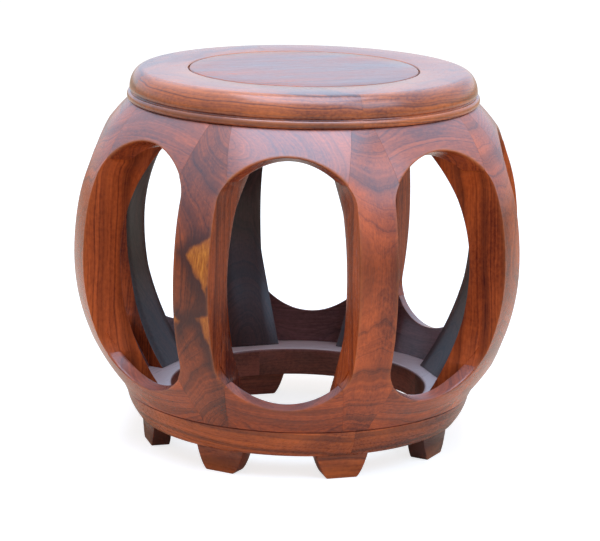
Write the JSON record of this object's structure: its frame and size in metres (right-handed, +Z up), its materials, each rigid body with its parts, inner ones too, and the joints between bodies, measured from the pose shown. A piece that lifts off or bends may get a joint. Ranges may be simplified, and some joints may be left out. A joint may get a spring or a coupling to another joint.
{
  "type": "wooden stool",
  "caption": "Barrel-shaped wooden drum stool: round framed seat, curved legs with arched aprons above and below, base ring and small feet.",
  "frame": {"origin": "centre of the footprint, on the floor under the feet", "axes": "+Z up along the stool's axis; an opening between two legs is centred on -Y, the front"},
  "size_m": [0.4424, 0.4424, 0.38],
  "materials": {
    "seat": "polished, swirling dark grain",
    "frame": "polished, grain along the ring",
    "leg": "polished, upright grain",
    "apron": "polished, level grain",
    "base": "satin, grain along the ring",
    "hidden": "plain, unpolished"
  },
  "bodies": {
    "root": {"seat_panel": "seat", "seat_batten": "hidden", "seat_frame_1": "frame", "seat_frame_2": "frame", "seat_frame_3": "frame", "seat_frame_4": "frame", "leg_1": "leg", "leg_2": "leg", "leg_3": "leg", "leg_4": "leg", "leg_5": "leg", "leg_6": "leg", "leg_7": "leg", "leg_8": "leg", "upper_apron_1": "apron", "upper_apron_2": "apron", "upper_apron_3": "apron", "upper_apron_4": "apron", "upper_apron_5": "apron", "upper_apron_6": "apron", "upper_apron_7": "apron", "upper_apron_8": "apron", "lower_apron_1": "apron", "lower_apron_2": "apron", "lower_apron_3": "apron", "lower_apron_4": "apron", "lower_apron_5": "apron", "lower_apron_6": "apron", "lower_apron_7": "apron", "lower_apron_8": "apron", "base_ring_1": "base", "base_ring_2": "base", "base_ring_3": "base", "base_ring_4": "base", "foot_1": "base", "foot_2": "base", "foot_3": "base", "foot_4": "base", "foot_5": "base", "foot_6": "base", "foot_7": "base", "foot_8": "base"}
  },
  "joints": []
}
